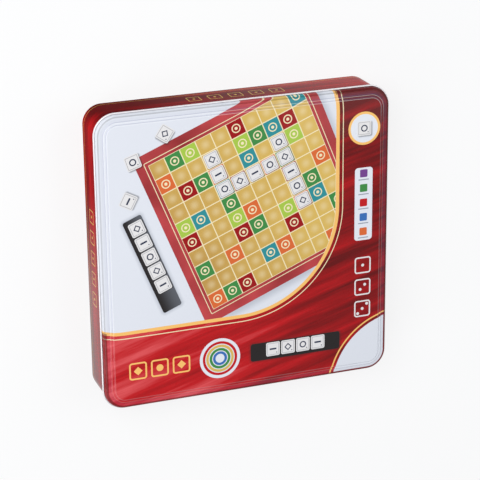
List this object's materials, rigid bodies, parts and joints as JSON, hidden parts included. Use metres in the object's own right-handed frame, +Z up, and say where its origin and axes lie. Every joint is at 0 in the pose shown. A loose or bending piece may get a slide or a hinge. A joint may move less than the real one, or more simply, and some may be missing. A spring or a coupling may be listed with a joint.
{
  "type": "travel word tile game case",
  "caption": "Flat square lithographed tin with rounded corners and a lift-off embossed lid, packed with a formed tray of letter tiles, tile racks, a folded play mat and a booklet.",
  "frame": {"origin": "centre of the tin's footprint, on the plane that its foot rests on", "axes": "+Z up through the lid, +Y towards the top edge of the lid's print, +X towards its right edge"},
  "size_m": [0.27, 0.27, 0.049],
  "materials": {
    "printed_tin_base": "gloss lithographed tinplate",
    "printed_tin_lid": "gloss lithographed tinplate",
    "tray_plastic": "satin vacuum-formed sheet",
    "tile_plastic": "semi-gloss moulded",
    "rack_plastic": "semi-gloss moulded",
    "mat_cloth": "printed woven cloth",
    "booklet_paper": "coated paper"
  },
  "bodies": {
    "base": {"tin_base": "printed_tin_base"},
    "tray": {"insert_tray": "tray_plastic"},
    "tiles": {"tile_stack_1_1": "tile_plastic", "tile_stack_1_2": "tile_plastic", "tile_stack_1_3": "tile_plastic", "tile_stack_1_4": "tile_plastic", "tile_stack_1_5": "tile_plastic", "tile_stack_2_1": "tile_plastic", "tile_stack_2_2": "tile_plastic", "tile_stack_2_3": "tile_plastic", "tile_stack_2_4": "tile_plastic", "tile_stack_2_5": "tile_plastic", "tile_stack_3_1": "tile_plastic", "tile_stack_3_2": "tile_plastic", "tile_stack_3_3": "tile_plastic", "tile_stack_3_4": "tile_plastic", "tile_stack_3_5": "tile_plastic", "tile_stack_4_1": "tile_plastic", "tile_stack_4_2": "tile_plastic", "tile_stack_4_3": "tile_plastic", "tile_stack_4_4": "tile_plastic", "tile_stack_4_5": "tile_plastic", "tile_stack_5_1": "tile_plastic", "tile_stack_5_2": "tile_plastic", "tile_stack_5_3": "tile_plastic", "tile_stack_5_4": "tile_plastic", "tile_stack_5_5": "tile_plastic"},
    "racks": {"tile_rack_1": "rack_plastic", "tile_rack_2": "rack_plastic", "tile_rack_3": "rack_plastic", "tile_rack_4": "rack_plastic"},
    "mat": {"play_mat": "mat_cloth"},
    "booklet": {"rules_booklet": "booklet_paper"},
    "lid": {"tin_lid": "printed_tin_lid"}
  },
  "joints": [
    {"name": "tray_lift", "type": "slide", "parent": "base", "child": "tray", "axis": [0, 0, 1], "range_m": [0, 0.06]},
    {"name": "tile_lift", "type": "slide", "parent": "tray", "child": "tiles", "axis": [0, 0, 1], "range_m": [0, 0.05]},
    {"name": "rack_lift", "type": "slide", "parent": "tiles", "child": "racks", "axis": [0, 0, 1], "range_m": [0, 0.045]},
    {"name": "mat_lift", "type": "slide", "parent": "racks", "child": "mat", "axis": [0, 0, 1], "range_m": [0, 0.04]},
    {"name": "booklet_lift", "type": "slide", "parent": "mat", "child": "booklet", "axis": [0, 0, 1], "range_m": [0, 0.03]},
    {"name": "lid_lift", "type": "slide", "parent": "booklet", "child": "lid", "axis": [0, 0, 1], "range_m": [0, 0.08]}
  ]
}
